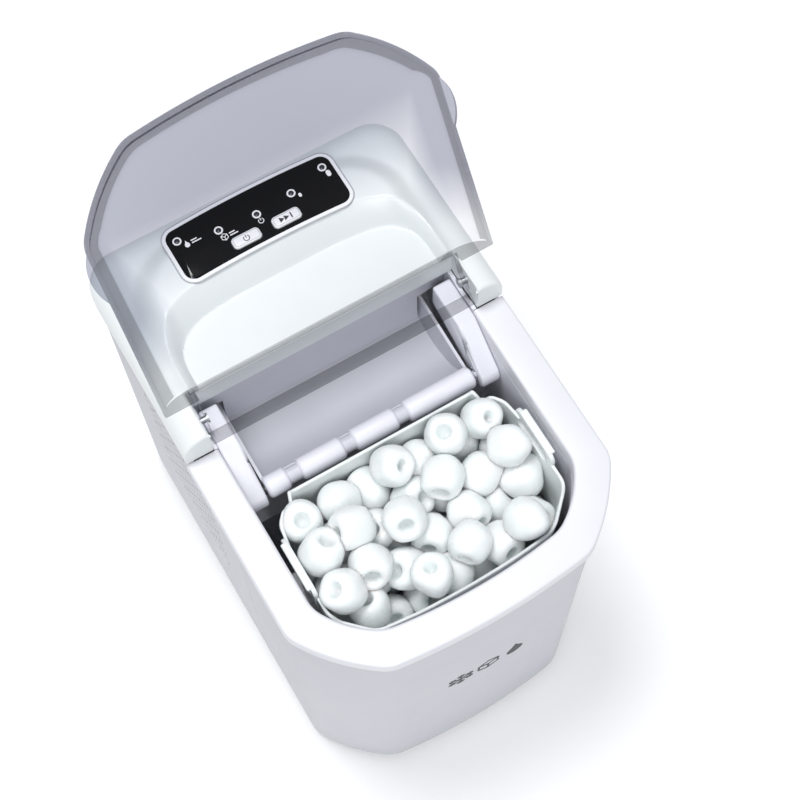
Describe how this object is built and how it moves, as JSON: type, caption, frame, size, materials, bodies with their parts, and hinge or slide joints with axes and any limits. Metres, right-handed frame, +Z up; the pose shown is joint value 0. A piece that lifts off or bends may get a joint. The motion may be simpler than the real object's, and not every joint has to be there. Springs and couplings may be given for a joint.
{
  "type": "ice maker",
  "caption": "Countertop bullet-ice maker with a hinged clear lid, lift-out basket, tilting water tray and control console",
  "frame": {"origin": "centre of the bounding box's bottom face, on the ground under the feet", "axes": "+Z up, -Y is the front with the basket, +Y the rear panel, +X the right side seen from the front"},
  "size_m": [0.237, 0.325, 0.4797],
  "materials": {
    "deck_white_abs": "satin moulded",
    "casing_white_abs": "fine moulded texture",
    "console_white_abs": "satin moulded",
    "liner_white_pp": "smooth moulded",
    "basket_white_pp": "smooth moulded",
    "tray_grey_pp": "smooth moulded",
    "gloss_black_fascia": "gloss",
    "button_white_abs": "satin moulded",
    "led_lens_acrylic": "clear",
    "smoked_clear_as": "clear, lightly smoked",
    "black_plastic": "moulded",
    "black_rubber": "moulded",
    "galvanised_steel": "rolled",
    "black_enamelled_steel": "stoved enamel",
    "copper_tube": "drawn",
    "stainless_steel": "drawn",
    "circuit_board": "solder mask",
    "silicone_hose": "translucent",
    "foam_white": "expanded foam"
  },
  "bodies": {
    "root": {"base_pan": "galvanised_steel", "front_casing": "casing_white_abs", "left_side_panel": "casing_white_abs", "right_side_panel": "casing_white_abs", "rear_panel": "casing_white_abs", "rim_ring": "deck_white_abs", "rear_top_cover": "console_white_abs", "inner_liner": "liner_white_pp", "floor_insulation": "foam_white", "fascia_border": "button_white_abs", "control_fascia": "gloss_black_fascia", "control_board": "circuit_board", "tray_bracket_left": "liner_white_pp", "tray_bracket_right": "liner_white_pp", "tray_motor": "black_enamelled_steel", "splash_guard": "liner_white_pp", "shaft_clip_left": "black_plastic", "shaft_spring_right": "stainless_steel", "evaporator": "copper_tube", "compressor": "black_enamelled_steel", "condenser": "galvanised_steel", "fan_housing": "black_plastic", "fan_motor": "black_enamelled_steel", "discharge_pipe": "copper_tube", "suction_pipe": "copper_tube", "capillary_pipe": "copper_tube", "water_pump": "black_plastic", "pump_hose": "silicone_hose", "ir_sensor_left": "black_plastic", "ir_sensor_right": "black_plastic", "drain_tube": "silicone_hose", "mains_inlet": "black_plastic", "foot_front_left": "black_rubber", "foot_front_right": "black_rubber", "foot_rear_left": "black_rubber", "foot_rear_right": "black_rubber", "rear_screw_1": "stainless_steel", "rear_screw_2": "stainless_steel", "rear_screw_3": "stainless_steel", "rear_screw_4": "stainless_steel", "led_add_water": "led_lens_acrylic", "led_ice_full": "led_lens_acrylic", "led_power": "led_lens_acrylic", "led_small": "led_lens_acrylic", "led_large": "led_lens_acrylic"},
    "lid": {"lid": "smoked_clear_as", "hinge_pin_left": "stainless_steel", "hinge_pin_right": "stainless_steel"},
    "basket": {"ice_basket": "basket_white_pp"},
    "tray": {"water_tray": "tray_grey_pp", "tray_shaft": "stainless_steel"},
    "fan": {"fan_blade": "black_plastic"},
    "on_off": {"on_off_button": "button_white_abs"},
    "select": {"select_button": "button_white_abs"},
    "drain": {"drain_cap": "casing_white_abs"}
  },
  "joints": [
    {"name": "lid_hinge", "type": "hinge", "parent": "root", "child": "lid", "pos_m": [0, 0.03, 0.307], "axis": [1, 0, 0], "range_deg": [0, 124]},
    {"name": "basket_lift", "type": "slide", "parent": "root", "child": "basket", "axis": [0, 0, -1], "range_m": [-0.125, 0]},
    {"name": "tray_tilt", "type": "hinge", "parent": "root", "child": "tray", "pos_m": [0, -0.011, 0.258], "axis": [-1, 0, 0], "range_deg": [0, 55]},
    {"name": "fan_spin", "type": "hinge", "parent": "root", "child": "fan", "pos_m": [0.056, 0.054, 0.118], "axis": [1, 0, 0], "continuous": true},
    {"name": "on_off_press", "type": "slide", "parent": "root", "child": "on_off", "axis": [0, 0, -1], "range_m": [0, 0.0012], "stiffness_N_per_m": 600},
    {"name": "select_press", "type": "slide", "parent": "root", "child": "select", "axis": [0, 0, -1], "range_m": [0, 0.0012], "stiffness_N_per_m": 600},
    {"name": "drain_cap_pull", "type": "slide", "parent": "root", "child": "drain", "axis": [1, 0, 0], "range_m": [0, 0.02]}
  ]
}
